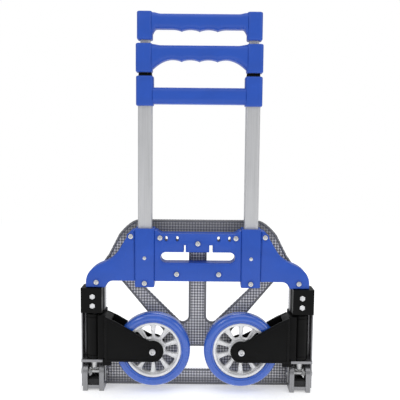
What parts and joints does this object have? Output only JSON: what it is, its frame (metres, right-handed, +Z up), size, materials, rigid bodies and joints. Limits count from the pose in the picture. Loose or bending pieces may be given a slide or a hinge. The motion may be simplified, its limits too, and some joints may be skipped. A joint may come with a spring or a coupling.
{
  "type": "hand truck",
  "caption": "Folding hand truck with a telescopic two-stage handle, a fold-up toe plate and two wheels that swing flat when it folds.",
  "frame": {"origin": "middle of the footprint on the surface that the folded truck stands on", "axes": "+X to the right seen from the wheel side, -Y the wheel side, +Z up along the columns"},
  "size_m": [0.4016, 0.0558, 0.642],
  "materials": {
    "blue_plastic": "moulded, satin gloss",
    "black_plastic": "moulded, fine texture",
    "tube_aluminium": "anodised, drawn",
    "channel_aluminium": "bent sheet, brushed",
    "mesh_plate": "pressed with a small diamond pattern",
    "zinc_fastener": "zinc plated",
    "spring_steel": "bright",
    "gear_steel": "turned",
    "tyre_blue": "glossy",
    "rim_silver": "silver lacquer",
    "bumper_rubber": "matte"
  },
  "bodies": {
    "frame": {"chassis_screw_arm_left": "zinc_fastener", "chassis_screw_arm_right": "zinc_fastener", "chassis_screw_bottom_inner_left": "zinc_fastener", "chassis_screw_bottom_inner_right": "zinc_fastener", "chassis_screw_housing_left": "zinc_fastener", "chassis_screw_housing_right": "zinc_fastener", "chassis_screw_shoulder_left": "zinc_fastener", "chassis_screw_shoulder_right": "zinc_fastener", "chassis_screw_top_inner_left": "zinc_fastener", "chassis_screw_top_inner_right": "zinc_fastener", "chassis_screw_top_middle": "zinc_fastener", "chassis_shell_back": "blue_plastic", "chassis_shell_front": "blue_plastic", "corner_channel_left": "channel_aluminium", "corner_channel_right": "channel_aluminium", "corner_sleeve_left": "black_plastic", "corner_sleeve_right": "black_plastic", "guide_collar_left": "black_plastic", "guide_collar_right": "black_plastic", "lower_bar": "blue_plastic", "outer_tube_left": "tube_aluminium", "outer_tube_right": "tube_aluminium", "sleeve_bolt_lower_left": "zinc_fastener", "sleeve_bolt_lower_right": "zinc_fastener", "sleeve_bolt_upper_left": "zinc_fastener", "sleeve_bolt_upper_right": "zinc_fastener", "swing_bush_left": "black_plastic", "swing_bush_right": "black_plastic"},
    "toe_plate": {"toe_bracket_left": "channel_aluminium", "toe_bracket_right": "channel_aluminium", "toe_bumper_left": "bumper_rubber", "toe_bumper_right": "bumper_rubber", "toe_gear_shaft_left": "gear_steel", "toe_gear_shaft_right": "gear_steel", "toe_plate": "mesh_plate"},
    "left_fork": {"axle_bolt_left": "zinc_fastener", "axle_nut_left": "zinc_fastener", "swing_shaft_left": "gear_steel", "wheel_fork_left": "black_plastic"},
    "right_fork": {"axle_bolt_right": "zinc_fastener", "axle_nut_right": "zinc_fastener", "swing_shaft_right": "gear_steel", "wheel_fork_right": "black_plastic"},
    "left_wheel": {"tyre_left": "tyre_blue", "wheel_bush_left": "gear_steel", "wheel_rim_left": "rim_silver"},
    "right_wheel": {"tyre_right": "tyre_blue", "wheel_bush_right": "gear_steel", "wheel_rim_right": "rim_silver"},
    "mid_stage": {"mid_bar": "blue_plastic", "mid_tube_left": "tube_aluminium", "mid_tube_right": "tube_aluminium"},
    "grip_stage": {"grip_bar": "blue_plastic", "grip_tube_left": "tube_aluminium", "grip_tube_right": "tube_aluminium"},
    "left_mid_lock": {"mid_lock_button_left": "spring_steel"},
    "right_mid_lock": {"mid_lock_button_right": "spring_steel"},
    "left_grip_lock": {"grip_lock_button_left": "spring_steel"},
    "right_grip_lock": {"grip_lock_button_right": "spring_steel"}
  },
  "joints": [
    {"name": "toe_fold", "type": "hinge", "parent": "frame", "child": "toe_plate", "pos_m": [0, 0.0069, 0.03], "axis": [-1, 0, 0], "range_deg": [0, 90]},
    {"name": "left_fork_swing", "type": "hinge", "parent": "frame", "child": "left_fork", "pos_m": [-0.178, 0.0069, 0.1], "axis": [0, 0, -1], "range_deg": [0, 90]},
    {"name": "right_fork_swing", "type": "hinge", "parent": "frame", "child": "right_fork", "pos_m": [0.178, 0.0069, 0.1], "axis": [0, 0, 1], "range_deg": [0, 90]},
    {"name": "left_wheel_spin", "type": "hinge", "parent": "left_fork", "child": "left_wheel", "pos_m": [-0.075, -0.0036, 0.0755], "axis": [0, 1, 0], "continuous": true},
    {"name": "right_wheel_spin", "type": "hinge", "parent": "right_fork", "child": "right_wheel", "pos_m": [0.075, -0.0036, 0.0755], "axis": [0, 1, 0], "continuous": true},
    {"name": "mid_stage_slide", "type": "slide", "parent": "frame", "child": "mid_stage", "axis": [0, 0, 1], "range_m": [0, 0.18]},
    {"name": "grip_stage_slide", "type": "slide", "parent": "mid_stage", "child": "grip_stage", "axis": [0, 0, 1], "range_m": [0, 0.18]},
    {"name": "left_mid_lock_press", "type": "slide", "parent": "mid_stage", "child": "left_mid_lock", "axis": [0, -1, 0], "range_m": [0, 0.002], "stiffness_N_per_m": 400},
    {"name": "left_grip_lock_press", "type": "slide", "parent": "grip_stage", "child": "left_grip_lock", "axis": [0, -1, 0], "range_m": [0, 0.002], "stiffness_N_per_m": 400},
    {"name": "right_mid_lock_press", "type": "slide", "parent": "mid_stage", "child": "right_mid_lock", "axis": [0, -1, 0], "range_m": [0, 0.002], "stiffness_N_per_m": 400},
    {"name": "right_grip_lock_press", "type": "slide", "parent": "grip_stage", "child": "right_grip_lock", "axis": [0, -1, 0], "range_m": [0, 0.002], "stiffness_N_per_m": 400}
  ],
  "couplings": [
    {"joint": "left_fork_swing", "follows": "toe_fold", "ratio": 1},
    {"joint": "right_fork_swing", "follows": "toe_fold", "ratio": 1}
  ]
}
